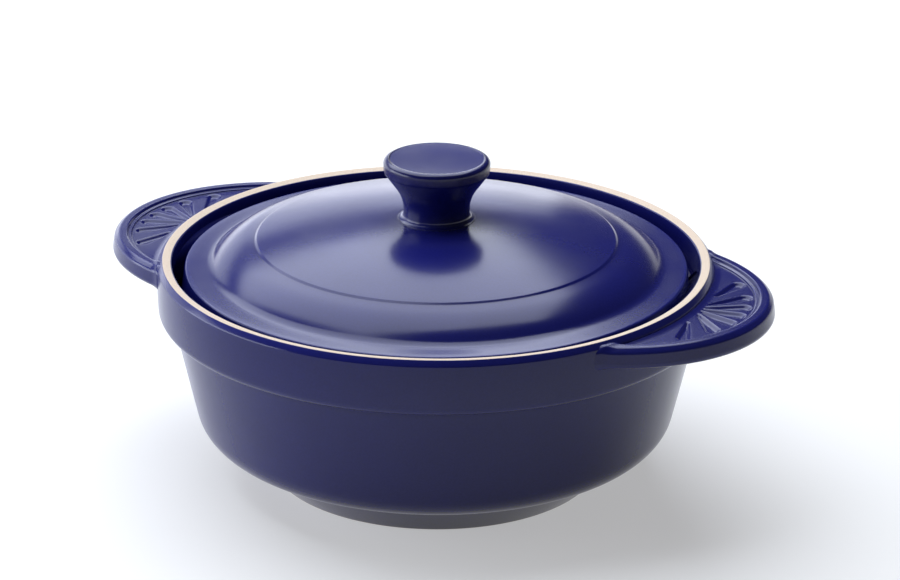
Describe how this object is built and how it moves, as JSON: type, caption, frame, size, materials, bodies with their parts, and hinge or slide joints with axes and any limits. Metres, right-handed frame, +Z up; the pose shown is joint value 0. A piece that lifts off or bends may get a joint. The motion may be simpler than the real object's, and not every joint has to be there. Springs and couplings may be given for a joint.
{
  "type": "lidded clay pot",
  "caption": "Wide glazed clay cooking pot with a bare rim, flat lug handles with fanned flutes, and a lift-off domed lid with a trumpet knob.",
  "frame": {"origin": "centre of the face that the pot stands on, under the middle of the foot", "axes": "+Z up along the pot's turning axis, +X towards the right handle, -Y towards the front"},
  "size_m": [0.3034, 0.2406, 0.1409],
  "materials": {
    "bowl_glaze": "cobalt blue satin-gloss glaze, bare cream clay on the rim's top and under the foot",
    "handle_glaze": "cobalt blue satin-gloss glaze, paler on the raised edges",
    "lid_glaze": "cobalt blue satin-gloss glaze, bare cream clay under the foot of the skirt",
    "knob_glaze": "cobalt blue satin-gloss glaze"
  },
  "bodies": {
    "pot": {"bowl": "bowl_glaze", "handle_left": "handle_glaze", "handle_right": "handle_glaze"},
    "lid": {"lid": "lid_glaze", "knob": "knob_glaze"}
  },
  "joints": [
    {"name": "lid_lift", "type": "slide", "parent": "pot", "child": "lid", "axis": [0, 0, 1], "range_m": [0, 0.12]}
  ]
}
